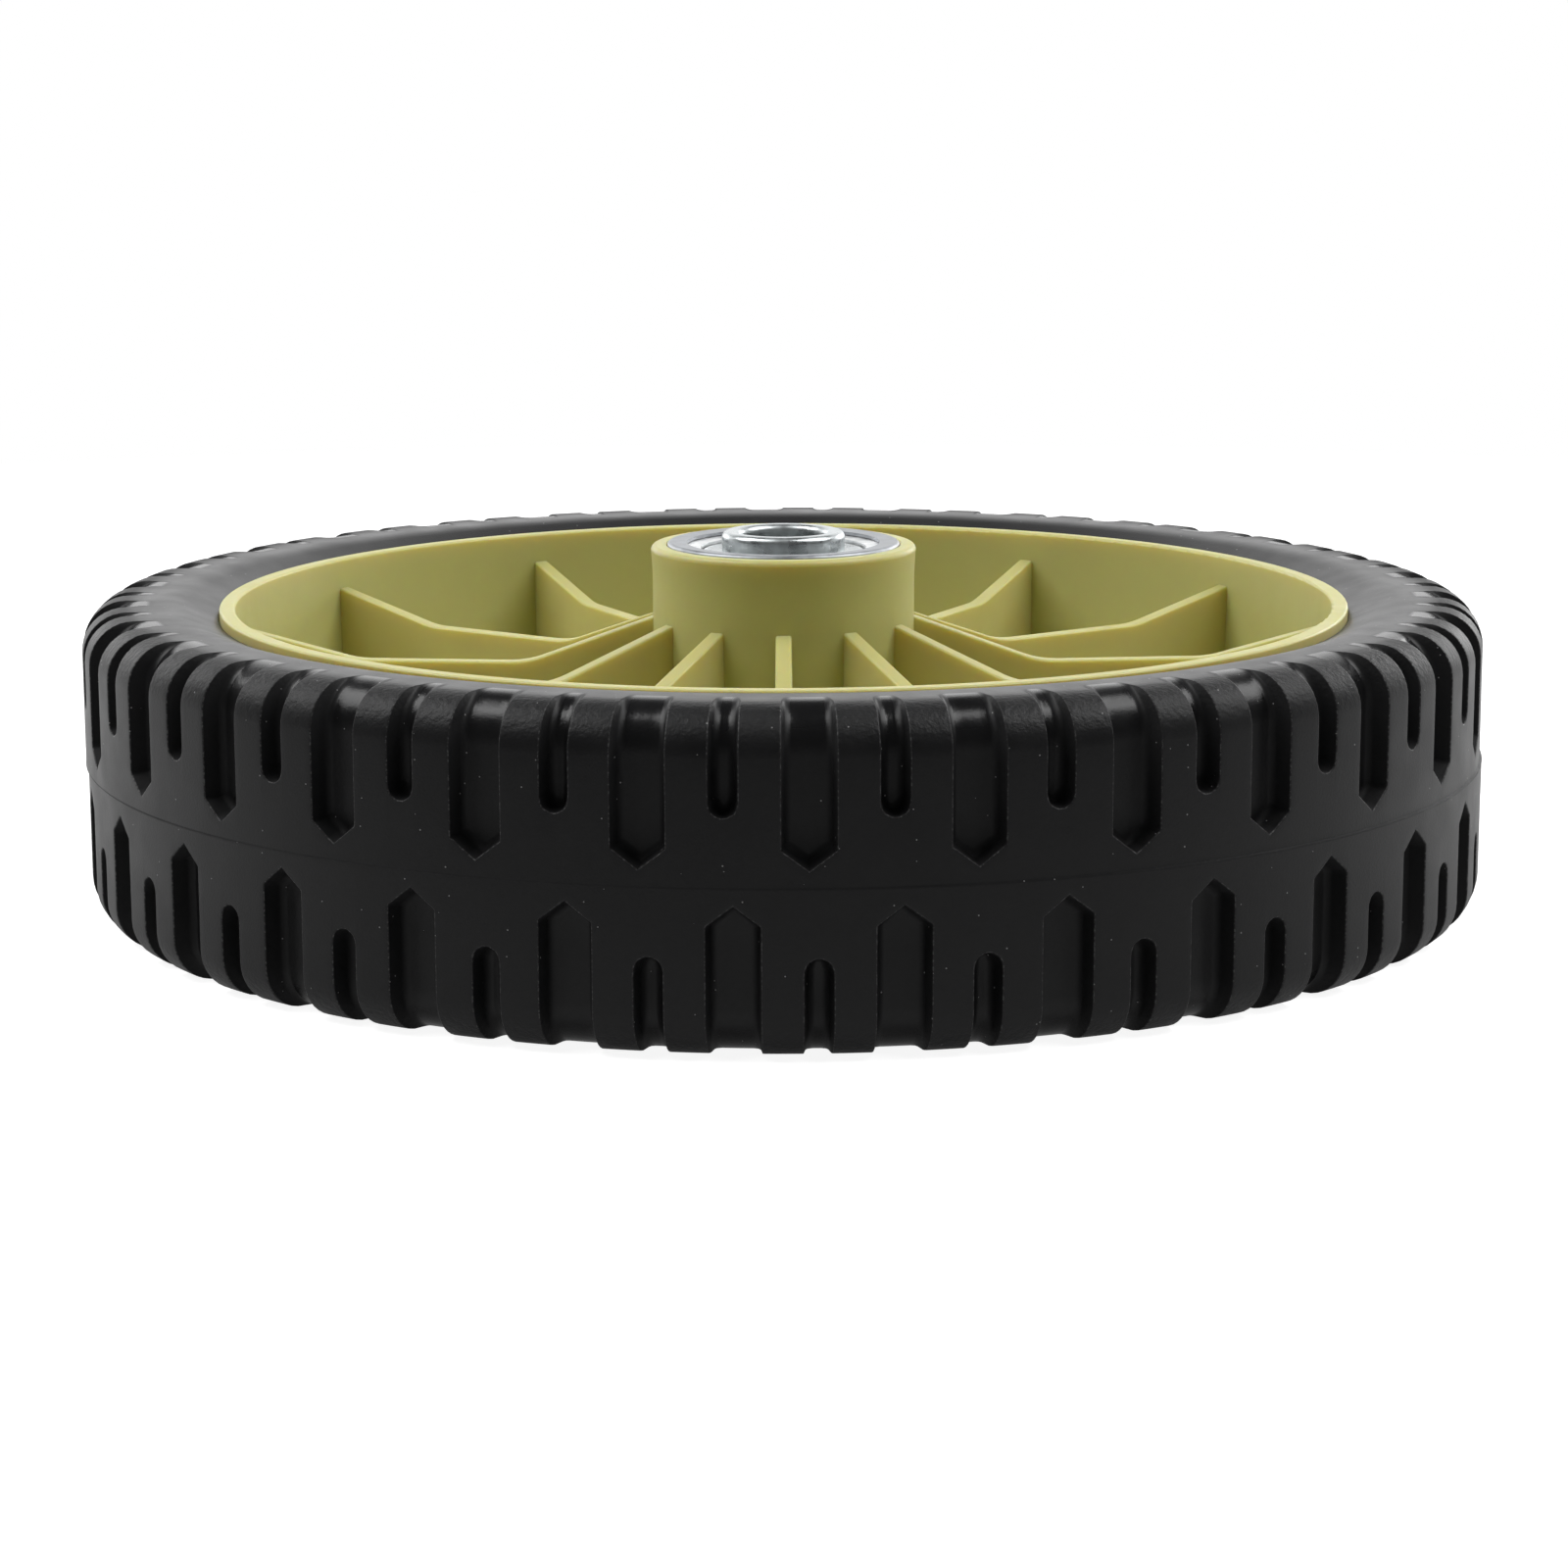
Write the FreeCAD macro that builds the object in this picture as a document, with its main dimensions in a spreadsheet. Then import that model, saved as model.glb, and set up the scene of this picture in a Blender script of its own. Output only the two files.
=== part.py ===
import FreeCAD, Part
import Sketcher
import math
import os

# A lawn mower wheel, lying on its side: a solid rubber tyre with two staggered rows of tread grooves,
# held by a ridge round the barrel of a ribbed plastic wheel, whose hub tube has a ball bearing in each end.
# The origin is on the axle line, in the plane that the tyre lies on, with +Z up the axle. Lengths in mm.

Vector = FreeCAD.Vector
doc = FreeCAD.newDocument("mower_wheel")

# Driving sizes

SIZES = (
    # tyre
    ("tyre_diameter", 203.2),
    ("tyre_width", 44.45),
    ("shoulder_radius", 6.2),
    ("sidewall_slope", 6.0),
    ("sidewall_bend_radius", 8.0),
    ("bead_drop", 2.4),
    # tread
    ("groove_count", 30),
    ("groove_depth", 3.0),
    ("groove_draft", 8.0),
    ("groove_overcut", 0.5),
    ("groove_run_out", 0.1),
    ("land_overlap", 3.0),
    ("vee_width", 6.9),
    ("vee_point", 2.6),
    ("vee_tip_offset", 2.2),
    ("slot_width", 3.7),
    ("slot_end_offset", 8.8),
    ("row_phase", 1.84),
    ("row_stagger", 5.5),
    # wheel moulding
    ("rim_diameter", 164.0),
    ("rim_wall", 2.3),
    ("rim_root_wall", 2.8),
    ("lip_proud", 1.5),
    ("lip_edge_radius", 0.4),
    ("ridge_height", 2.5),
    ("ridge_width", 8.0),
    ("ridge_flank", 2.0),
    ("web_thickness", 3.0),
    ("hub_wall", 2.45),
    ("hub_rise", 30.9),
    ("hub_length", 50.8),
    ("hub_waist_depth", 0.31),
    ("hub_flare", 6.0),
    ("hub_edge_radius", 0.8),
    ("seat_edge_radius", 0.4),
    ("seat_shoulder", 2.4),
    # ribs
    ("rib_count", 12),
    ("rib_thickness", 2.6),
    ("rib_draft", 0.5),
    ("rib_valley", 11.65),
    ("rib_valley_rise", 0.4),
    ("rib_hub_slope", 18.3),
    ("rib_rim_slope", 17.3),
    ("rib_hub_drop", 10.4),
    ("rib_back_hub_drop", 4.5),
    ("rib_rim_drop", 4.2),
    ("rib_overlap", 1.1),
    ("rib_bend_radius", 14.0),
    ("rib_edge_radius", 0.35),
    # bearings
    ("axle_diameter", 12.7),
    ("bearing_diameter", 34.0),
    ("race_length", 11.8),
    ("race_wall", 1.25),
    ("race_proud", 0.4),
    ("race_edge_radius", 0.6),
    ("race_lip_width", 2.9),
    ("race_lip_fall", 0.15),
    ("ring_proud", 1.5),
    ("ring_crown", 1.0),
    ("collar_wall", 2.65),
    ("flange_drop", 0.45),
    ("flange_thickness", 0.8),
    ("ball_diameter", 6.35),
    ("ball_clearance", 0.04),
    ("track_depth", 0.5),
    ("shield_drop", 0.6),
    ("shield_dish", 0.35),
    ("shield_width", 3.15),
    ("shield_thickness", 0.6),
    ("shield_gap", 0.4),
)

# Places worked out from the driving sizes: radii, heights above the resting plane, and angles.
# In a bearing, a depth is measured inwards from the end face of its inner ring.

PLACES = (
    # tyre
    ("tyre_radius", "sizes.tyre_diameter / 2"),
    ("mid_height", "sizes.tyre_width / 2"),
    ("rim_radius", "sizes.rim_diameter / 2"),
    ("land_crest", "tyre_radius - sizes.shoulder_radius"),
    ("shoulder_high", "sizes.tyre_width - sizes.shoulder_radius"),
    ("bead_high", "sizes.tyre_width - sizes.bead_drop"),
    ("sidewall_bend", "rim_radius + sizes.sidewall_slope"),
    ("floor_radius", "tyre_radius - sizes.groove_depth"),
    ("floor_low", "sizes.shoulder_radius - sizes.groove_run_out"),
    ("floor_high", "sizes.tyre_width - floor_low"),
    ("floor_centre", "floor_radius - sizes.shoulder_radius"),
    ("floor_tip", "floor_centre + sqrt(sizes.shoulder_radius ^ 2 - floor_low ^ 2)"),
    ("land_root", "floor_centre - sizes.land_overlap"),
    # tread grooves, drawn on a plane just outside the tread
    ("groove_plane", "tyre_radius + sizes.groove_overcut"),
    ("groove_reach", "2 * sizes.groove_overcut + sizes.groove_depth + sizes.shoulder_radius"),
    ("groove_flare", "sizes.groove_overcut * tan(sizes.groove_draft)"),
    ("groove_top", "sizes.tyre_width + sizes.groove_overcut"),
    ("groove_base", "-sizes.groove_overcut"),
    ("vee_half", "sizes.vee_width / 2 + groove_flare"),
    ("upper_vee_tip", "mid_height + sizes.vee_tip_offset"),
    ("upper_vee_side", "upper_vee_tip + sizes.vee_point"),
    ("lower_vee_tip", "mid_height - sizes.vee_tip_offset"),
    ("lower_vee_side", "lower_vee_tip - sizes.vee_point"),
    ("slot_half", "sizes.slot_width / 2 + groove_flare"),
    ("upper_slot_turn", "mid_height + sizes.slot_end_offset + slot_half"),
    ("lower_slot_turn", "mid_height - sizes.slot_end_offset - slot_half"),
    ("upper_vee_angle", "sizes.row_phase"),
    ("upper_slot_angle", "upper_vee_angle - 180 / sizes.groove_count"),
    ("lower_vee_angle", "sizes.row_phase - sizes.row_stagger"),
    ("lower_slot_angle", "lower_vee_angle + 180 / sizes.groove_count"),
    # bearing
    ("axle_radius", "sizes.axle_diameter / 2"),
    ("bearing_radius", "sizes.bearing_diameter / 2"),
    ("ball_radius", "sizes.ball_diameter / 2"),
    ("track_radius", "ball_radius + sizes.ball_clearance"),
    ("outer_track", "bearing_radius - sizes.race_wall"),
    ("ball_circle", "outer_track - track_radius"),
    ("inner_track", "ball_circle - track_radius"),
    ("race_bore", "outer_track - sizes.track_depth"),
    ("ring_body", "inner_track + sizes.track_depth"),
    ("collar_radius", "axle_radius + sizes.collar_wall"),
    ("crown_bore", "axle_radius + sizes.ring_crown"),
    ("crown_collar", "collar_radius - sizes.ring_crown"),
    ("race_crest", "bearing_radius - sizes.race_edge_radius"),
    ("race_shoulder", "sizes.ring_proud + sizes.race_edge_radius"),
    ("race_lip", "bearing_radius - sizes.race_lip_width"),
    ("race_lip_top", "sizes.ring_proud + sizes.race_lip_fall"),
    ("race_base", "sizes.ring_proud + sizes.race_length"),
    ("ball_depth", "sizes.ring_proud + sizes.race_length / 2"),
    ("track_half", "sqrt(track_radius ^ 2 - (track_radius - sizes.track_depth) ^ 2)"),
    ("track_start", "ball_depth - track_half"),
    ("track_end", "ball_depth + track_half"),
    ("ball_count", "floor(180 / asin(sizes.ball_diameter / (2 * ball_circle)))"),
    ("shield_top", "sizes.ring_proud + sizes.shield_drop"),
    ("shield_base", "shield_top + sizes.shield_thickness"),
    ("shield_lip", "shield_top + sizes.shield_dish"),
    ("shield_lip_base", "shield_lip + sizes.shield_thickness"),
    ("shield_bore", "race_bore - sizes.shield_width"),
    ("flange_radius", "shield_bore - sizes.shield_gap"),
    ("flange_top", "shield_lip + sizes.flange_drop"),
    ("flange_base", "flange_top + sizes.flange_thickness"),
    # hub tube
    ("upper_ring_end", "mid_height + sizes.hub_rise"),
    ("lower_ring_end", "upper_ring_end - sizes.hub_length"),
    ("hub_top", "upper_ring_end - sizes.ring_proud - sizes.race_proud"),
    ("hub_base", "lower_ring_end + sizes.ring_proud + sizes.race_proud"),
    ("upper_seat", "upper_ring_end - race_base"),
    ("lower_seat", "lower_ring_end + race_base"),
    ("hub_radius", "bearing_radius + sizes.hub_wall"),
    ("hub_waist", "hub_radius - sizes.hub_waist_depth"),
    ("upper_waist", "hub_top - sizes.hub_flare"),
    ("lower_waist", "hub_base + sizes.hub_flare"),
    ("hub_bore", "bearing_radius - sizes.seat_shoulder"),
    # rim, web and ribs
    ("lip_inner", "rim_radius - sizes.rim_wall"),
    ("rim_root", "rim_radius - sizes.rim_root_wall"),
    ("lip_high", "bead_high + sizes.lip_proud"),
    ("lip_low", "sizes.bead_drop - sizes.lip_proud"),
    ("ridge_radius", "rim_radius + sizes.ridge_height"),
    ("ridge_high", "mid_height + sizes.ridge_width / 2"),
    ("ridge_low", "mid_height - sizes.ridge_width / 2"),
    ("ridge_foot_high", "ridge_high + sizes.ridge_flank"),
    ("ridge_foot_low", "ridge_low - sizes.ridge_flank"),
    ("web_high", "mid_height + sizes.web_thickness / 2"),
    ("web_low", "mid_height - sizes.web_thickness / 2"),
    ("rib_inner", "hub_radius - sizes.rib_overlap"),
    ("rib_outer", "lip_inner + sizes.rib_overlap"),
    ("valley_inner", "hub_radius + sizes.rib_hub_slope"),
    ("valley_outer", "lip_inner - sizes.rib_rim_slope"),
    ("upper_valley", "mid_height + sizes.rib_valley"),
    ("lower_valley", "mid_height - sizes.rib_valley"),
    ("upper_valley_end", "upper_valley + sizes.rib_valley_rise"),
    ("lower_valley_end", "lower_valley - sizes.rib_valley_rise"),
    ("upper_rib_hub", "hub_top - sizes.rib_hub_drop"),
    ("lower_rib_hub", "hub_base + sizes.rib_back_hub_drop"),
    ("upper_rib_rim", "lip_high - sizes.rib_rim_drop"),
    ("lower_rib_rim", "lip_low + sizes.rib_rim_drop"),
)


def fill_sheet(name, rows, prefix):
    sheet = doc.addObject("Spreadsheet::Sheet", name)
    for number, (alias, content) in enumerate(rows, start=1):
        sheet.set(f"A{number}", alias)
        sheet.set(f"B{number}", f"{prefix}{content}")
        sheet.setAlias(f"B{number}", alias)
    doc.recompute()
    return sheet


sizes = fill_sheet("sizes", SIZES, "")
places = fill_sheet("places", PLACES, "=")
SIZE_NAMES = {alias for alias, content in SIZES}


def cell(name):
    """expression that reads a named size or place, with a leading minus kept"""
    sign = "-" if name.startswith("-") else ""
    alias = name.lstrip("-")
    sheet = "sizes" if alias in SIZE_NAMES else "places"
    return f"{sign}{sheet}.{alias}"


def value(name):
    """number that a named size or place holds now, with a leading minus kept, and 0 for the axis"""
    if name == "0":
        return 0.0
    alias = name.lstrip("-")
    sheet = sizes if alias in SIZE_NAMES else places
    number = float(sheet.get(alias))
    return -number if name.startswith("-") else number


# Sketches: a closed outline is a list of corners, each a pair of names, "0" being the axis itself.
# A side that is an arc has a third entry: its turn and the name of its centre's height or radius.

def origin_feature(body, role):
    return next(item for item in body.Origin.OriginFeatures if item.Role == role)


def arc_side(start, end, turn, along, centre_name):
    """arc from start to end, turning left or right, whose centre has one known coordinate"""
    middle = (start + end) / 2
    chord = end - start
    known = value(centre_name)
    if along == "height":
        centre = Vector(middle.x - (known - middle.y) * chord.y / chord.x, known, 0)
    else:
        centre = Vector(known, middle.y - (known - middle.x) * chord.x / chord.y, 0)
    first, last = (start, end) if turn == "left" else (end, start)
    first_angle = math.atan2(first.y - centre.y, first.x - centre.x)
    last_angle = math.atan2(last.y - centre.y, last.x - centre.x)
    if last_angle < first_angle:
        last_angle += 2 * math.pi
    circle = Part.Circle(centre, Vector(0, 0, 1), (start - centre).Length)
    return Part.ArcOfCircle(circle, first_angle, last_angle)


def bind(sketch, kind, side, point, name):
    """place one coordinate of a side's point by a named value, or put it on the axis"""
    if name == "0":
        axis = -2 if kind == "DistanceX" else -1
        sketch.addConstraint(Sketcher.Constraint("PointOnObject", side, point, axis))
        return
    constraint = Sketcher.Constraint(kind, -1, 1, side, point, value(name))
    index = sketch.addConstraint(constraint)
    sketch.setExpression(f"Constraints[{index}]", cell(name))


def outline(body, name, corners):
    """closed outline on the body's own XZ plane, every corner tied to named values"""
    sketch = body.newObject("Sketcher::SketchObject", name)
    sketch.AttachmentSupport = [(origin_feature(body, "XZ_Plane"), "")]
    sketch.MapMode = "FlatFace"
    points = [Vector(value(corner[0]), value(corner[1]), 0) for corner in corners]
    starts = []
    ends = []
    for side, corner in enumerate(corners):
        start = points[side]
        end = points[(side + 1) % len(points)]
        if len(corner) == 2:
            sketch.addGeometry(Part.LineSegment(start, end), False)
            turn = "left"
        else:
            turn, along, centre_name = corner[2]
            sketch.addGeometry(arc_side(start, end, turn, along, centre_name), False)
        starts.append(1 if turn == "left" else 2)
        ends.append(2 if turn == "left" else 1)
    for side, corner in enumerate(corners):
        following = (side + 1) % len(corners)
        joined = Sketcher.Constraint("Coincident", side, ends[side], following, starts[following])
        sketch.addConstraint(joined)
        bind(sketch, "DistanceX", side, starts[side], corner[0])
        bind(sketch, "DistanceY", side, starts[side], corner[1])
        if len(corner) > 2:
            turn, along, centre_name = corner[2]
            bind(sketch, "DistanceY" if along == "height" else "DistanceX", side, 3, centre_name)
    return sketch


# Features

def new_body(label):
    return doc.addObject("PartDesign::Body", label)


def revolve(body, name, corners):
    """turn an outline round the axle line"""
    sketch = outline(body, f"{name}_section", corners)
    feature = body.newObject("PartDesign::Revolution", name)
    feature.Profile = sketch
    feature.ReferenceAxis = (sketch, ["V_Axis"])
    feature.Angle = 360
    body.Tip = feature
    doc.recompute()
    return feature


def repeat_round(body, name, originals, count_name):
    """repeat features, or with none named the whole body so far, evenly round the axle line"""
    pattern = body.newObject("PartDesign::PolarPattern", name)
    if originals:
        pattern.Originals = originals
    else:
        pattern.TransformMode = "Whole shape"
    pattern.Axis = (origin_feature(body, "Z_Axis"), [""])
    pattern.Angle = 360
    pattern.setExpression("Occurrences", cell(count_name))
    body.Tip = pattern
    doc.recompute()
    return pattern


def round_edges(body, name, base, edges, radius_name):
    feature = body.newObject("PartDesign::Fillet", name)
    feature.Base = (base, edges)
    feature.setExpression("Radius", cell(radius_name))
    body.Tip = feature
    doc.recompute()
    return feature


def edges_where(feature, wanted):
    return [f"Edge{number}" for number, edge in enumerate(feature.Shape.Edges, start=1) if wanted(edge)]


def faces_where(feature, wanted):
    return [f"Face{number}" for number, face in enumerate(feature.Shape.Faces, start=1) if wanted(face)]


def ring_edges(feature, rings):
    """edges that run round the axle at the named radius and height"""
    spots = [(value(radius), value(height)) for radius, height in rings]

    def wanted(edge):
        start = edge.Vertexes[0].Point
        reach = math.hypot(start.x, start.y)
        level = abs(edge.CenterOfMass.z - start.z) < 1e-6
        return level and any(abs(reach - r) < 1e-4 and abs(start.z - z) < 1e-4 for r, z in spots)

    return edges_where(feature, wanted)


# Tyre: a carcass that reaches out to the groove floors, and a ring of lands with the grooves cut through it

def tyre_carcass():
    body = new_body("tyre_carcass")
    turned = revolve(body, "carcass", (
        ("rim_radius", "bead_drop"),
        ("sidewall_bend", "0"),
        ("floor_tip", "0", ("left", "height", "floor_low")),
        ("floor_radius", "floor_low"),
        ("floor_radius", "floor_high", ("left", "height", "floor_high")),
        ("floor_tip", "tyre_width"),
        ("sidewall_bend", "tyre_width"),
        ("rim_radius", "bead_high"),
        ("rim_radius", "ridge_foot_high"),
        ("ridge_radius", "ridge_high"),
        ("ridge_radius", "ridge_low"),
        ("rim_radius", "ridge_foot_low"),
    ))
    bend_rings = (("sidewall_bend", "tyre_width"), ("sidewall_bend", "0"))
    round_edges(body, "sidewall_bends", turned, ring_edges(turned, bend_rings), "sidewall_bend_radius")
    return body


def groove(body, name, corners, angle_name):
    """drafted pocket cut straight in through the lands, at an angle round the tyre from the front"""
    sketch = outline(body, f"{name}_outline", corners)
    angle = cell(angle_name)
    plane = cell("groove_plane")
    sketch.AttachmentOffset = FreeCAD.Placement(Vector(), FreeCAD.Rotation(Vector(0, 1, 0), 1))
    sketch.setExpression("AttachmentOffset.Base.x", f"{plane} * sin({angle})")
    sketch.setExpression("AttachmentOffset.Base.z", f"{plane} * cos({angle})")
    sketch.setExpression("AttachmentOffset.Rotation.Angle", f"{angle} * 1 deg")
    pocket = body.newObject("PartDesign::Pocket", name)
    pocket.Profile = sketch
    pocket.setExpression("Length", cell("groove_reach"))
    pocket.setExpression("TaperAngle", f"-{cell('groove_draft')}")
    before = body.Shape.Volume
    body.Tip = pocket
    doc.recompute()
    if body.Shape.Volume >= before:
        raise RuntimeError(f"{name} cut nothing")
    return pocket


def vee_outline(tip, side, open_end):
    return (
        ("0", tip),
        ("vee_half", side),
        ("vee_half", open_end),
        ("-vee_half", open_end),
        ("-vee_half", side),
    )


def slot_outline(turn_height, open_end, turn):
    return (
        ("-slot_half", turn_height, (turn, "height", turn_height)),
        ("slot_half", turn_height),
        ("slot_half", open_end),
        ("-slot_half", open_end),
    )


def tyre_lands():
    body = new_body("tyre_lands")
    revolve(body, "lands", (
        ("land_root", "0"),
        ("land_crest", "0", ("left", "height", "shoulder_radius")),
        ("tyre_radius", "shoulder_radius"),
        ("tyre_radius", "shoulder_high", ("left", "height", "shoulder_high")),
        ("land_crest", "tyre_width"),
        ("land_root", "tyre_width"),
    ))
    upper_vee = vee_outline("upper_vee_tip", "upper_vee_side", "groove_top")
    lower_vee = vee_outline("lower_vee_tip", "lower_vee_side", "groove_base")
    upper_slot = slot_outline("upper_slot_turn", "groove_top", "left")
    lower_slot = slot_outline("lower_slot_turn", "groove_base", "right")
    grooves = [
        groove(body, "upper_vee", upper_vee, "upper_vee_angle"),
        groove(body, "upper_slot", upper_slot, "upper_slot_angle"),
        groove(body, "lower_vee", lower_vee, "lower_vee_angle"),
        groove(body, "lower_slot", lower_slot, "lower_slot_angle"),
    ]
    repeat_round(body, "tread", grooves, "groove_count")
    return body


def tyre():
    joined = doc.addObject("Part::Fuse", "tyre")
    joined.Base = tyre_carcass()
    joined.Tool = tyre_lands()
    joined.Refine = True
    doc.recompute()
    return joined


# Wheel moulding: rim barrel, web and hub tube turned in one, with a set of ribs on each face of the web

def wheel_turning():
    """rim, web and hub tube, whose mouths are spread a little by the bearings pressed into them"""
    body = new_body("wheel_turning")
    turned = revolve(body, "barrel_web_and_hub", (
        ("hub_bore", "lower_seat"),
        ("bearing_radius", "lower_seat"),
        ("bearing_radius", "hub_base"),
        ("hub_radius", "hub_base", ("right", "height", "lower_waist")),
        ("hub_waist", "lower_waist"),
        ("hub_waist", "web_low"),
        ("rim_root", "web_low"),
        ("lip_inner", "lip_low"),
        ("rim_radius", "lip_low"),
        ("rim_radius", "ridge_foot_low"),
        ("ridge_radius", "ridge_low"),
        ("ridge_radius", "ridge_high"),
        ("rim_radius", "ridge_foot_high"),
        ("rim_radius", "lip_high"),
        ("lip_inner", "lip_high"),
        ("rim_root", "web_high"),
        ("hub_waist", "web_high"),
        ("hub_waist", "upper_waist", ("right", "height", "upper_waist")),
        ("hub_radius", "hub_top"),
        ("bearing_radius", "hub_top"),
        ("bearing_radius", "upper_seat"),
        ("hub_bore", "upper_seat"),
    ))
    lip_rings = (
        ("rim_radius", "lip_high"),
        ("lip_inner", "lip_high"),
        ("rim_radius", "lip_low"),
        ("lip_inner", "lip_low"),
    )
    lips = round_edges(body, "lip_edges", turned, ring_edges(turned, lip_rings), "lip_edge_radius")
    hub_rings = (("hub_radius", "hub_top"), ("hub_radius", "hub_base"))
    hubs = round_edges(body, "hub_edges", lips, ring_edges(lips, hub_rings), "hub_edge_radius")
    seat_rings = (("bearing_radius", "hub_top"), ("bearing_radius", "hub_base"))
    round_edges(body, "seat_edges", hubs, ring_edges(hubs, seat_rings), "seat_edge_radius")
    return body


def rib_set(label, valley, valley_end, hub_end, rim_end):
    """drafted ribs on one face: high at the hub and at the rim, with a valley between and a rounded top"""
    body = new_body(label)
    sketch = outline(body, f"{label}_outline", (
        ("rib_inner", "mid_height"),
        ("rib_outer", "mid_height"),
        ("rib_outer", rim_end),
        ("valley_outer", valley_end),
        ("valley_inner", valley),
        ("rib_inner", hub_end),
    ))
    pad = body.newObject("PartDesign::Pad", f"{label}_plate")
    pad.Profile = sketch
    pad.SideType = "Symmetric"
    pad.setExpression("Length", cell("rib_thickness"))
    body.Tip = pad
    doc.recompute()
    corners = [(value("valley_inner"), value(valley)), (value("valley_outer"), value(valley_end))]

    def is_bend(edge):
        centre = edge.CenterOfMass
        return any(abs(centre.x - x) < 1e-4 and abs(centre.z - z) < 1e-4 for x, z in corners)

    bends = round_edges(body, f"{label}_bends", pad, edges_where(pad, is_bend), "rib_bend_radius")
    draft = body.newObject("PartDesign::Draft", f"{label}_draft")
    sides = faces_where(bends, lambda face: abs(face.normalAt(0, 0).y) > 0.999)
    roots = faces_where(bends, lambda face: abs(face.CenterOfMass.z - value("mid_height")) < 1e-4)
    draft.Base = (bends, sides)
    draft.NeutralPlane = (bends, roots)
    draft.Reversed = value(valley) < value("mid_height")
    draft.setExpression("Angle", cell("rib_draft"))
    doc.recompute()
    body.Tip = draft
    doc.recompute()

    def is_top(edge):
        centre = edge.CenterOfMass
        inside = value("rib_inner") + 1e-4 < centre.x < value("rib_outer") - 1e-4
        return inside and abs(centre.y) > 1e-4 and abs(centre.z - value("mid_height")) > 1e-4

    round_edges(body, f"{label}_tops", draft, edges_where(draft, is_top), "rib_edge_radius")
    body.AllowCompound = True
    repeat_round(body, f"{label}_round", [], "rib_count")
    return body


def wheel_moulding():
    joined = doc.addObject("Part::MultiFuse", "wheel_moulding")
    joined.Shapes = [
        wheel_turning(),
        rib_set("upper_ribs", "upper_valley", "upper_valley_end", "upper_rib_hub", "upper_rib_rim"),
        rib_set("lower_ribs", "lower_valley", "lower_valley_end", "lower_rib_hub", "lower_rib_rim"),
    ]
    joined.Refine = True
    doc.recompute()
    return joined


# Ball bearing: drawn with the inner ring's end face at height 0 and the rest below it

def inner_ring(label):
    body = new_body(label)
    revolve(body, f"{label}_turning", (
        ("axle_radius", "-race_base"),
        ("ring_body", "-race_base"),
        ("ring_body", "-track_end", ("right", "radius", "ball_circle")),
        ("ring_body", "-track_start"),
        ("ring_body", "-flange_base"),
        ("flange_radius", "-flange_base"),
        ("flange_radius", "-flange_top"),
        ("collar_radius", "-flange_top"),
        ("collar_radius", "-ring_crown", ("left", "height", "-ring_crown")),
        ("crown_collar", "0"),
        ("crown_bore", "0", ("left", "height", "-ring_crown")),
        ("axle_radius", "-ring_crown"),
    ))
    return body


def outer_race(label):
    """pressed race whose upper edge is rolled inwards over the rim of the shield"""
    body = new_body(label)
    revolve(body, f"{label}_turning", (
        ("race_bore", "-race_base"),
        ("bearing_radius", "-race_base"),
        ("bearing_radius", "-race_shoulder", ("left", "height", "-race_shoulder")),
        ("race_crest", "-ring_proud"),
        ("race_lip", "-race_lip_top"),
        ("race_lip", "-shield_top"),
        ("race_bore", "-shield_top"),
        ("race_bore", "-track_start", ("right", "radius", "ball_circle")),
        ("race_bore", "-track_end"),
    ))
    return body


def shield(label):
    body = new_body(label)
    revolve(body, f"{label}_turning", (
        ("shield_bore", "-shield_lip_base"),
        ("race_bore", "-shield_base"),
        ("race_bore", "-shield_top"),
        ("shield_bore", "-shield_lip"),
    ))
    return body


def balls(label):
    body = new_body(label)
    body.AllowCompound = True
    ball = body.newObject("PartDesign::AdditiveSphere", f"{label}_first")
    ball.setExpression("Radius", cell("ball_radius"))
    ball.AttachmentSupport = [(origin_feature(body, "XY_Plane"), "")]
    ball.MapMode = "FlatFace"
    ball.setExpression("AttachmentOffset.Base.x", cell("ball_circle"))
    ball.setExpression("AttachmentOffset.Base.z", cell("-ball_depth"))
    body.Tip = ball
    doc.recompute()
    repeat_round(body, f"{label}_round", [ball], "ball_count")
    return body


def bearing(side, end_name, turned_over):
    """the four pieces of one bearing, with the inner ring's end face at the named height"""
    pieces = {
        f"{side}_outer_race": outer_race(f"{side}_outer_race"),
        f"{side}_inner_ring": inner_ring(f"{side}_inner_ring"),
        f"{side}_balls": balls(f"{side}_balls"),
        f"{side}_shield": shield(f"{side}_shield"),
    }
    turn = FreeCAD.Rotation(Vector(1, 0, 0), 180 if turned_over else 0)
    for body in pieces.values():
        body.Placement = FreeCAD.Placement(Vector(), turn)
        body.setExpression("Placement.Base.z", cell(end_name))
    doc.recompute()
    return pieces


# Build every piece, check it and write it

nodes = {"tyre": tyre(), "wheel_moulding": wheel_moulding()}
nodes.update(bearing("upper", "upper_ring_end", False))
nodes.update(bearing("lower", "lower_ring_end", True))
doc.recompute()

for item in doc.Objects:
    if "Invalid" in item.State or "Error" in item.State:
        raise RuntimeError(f"{item.Label} failed: {item.State}")
for label, item in nodes.items():
    if item.Shape.isNull() or not item.Shape.isValid():
        raise RuntimeError(f"{label} has no valid shape")

os.makedirs("parts", exist_ok=True)
for label, item in nodes.items():
    item.Label = label
    item.Shape.exportStep(os.path.join("parts", f"{label}.step"))
    print(f"{label}: {len(item.Shape.Solids)} solids, {item.Shape.Volume:.1f} cubic mm")
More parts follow.
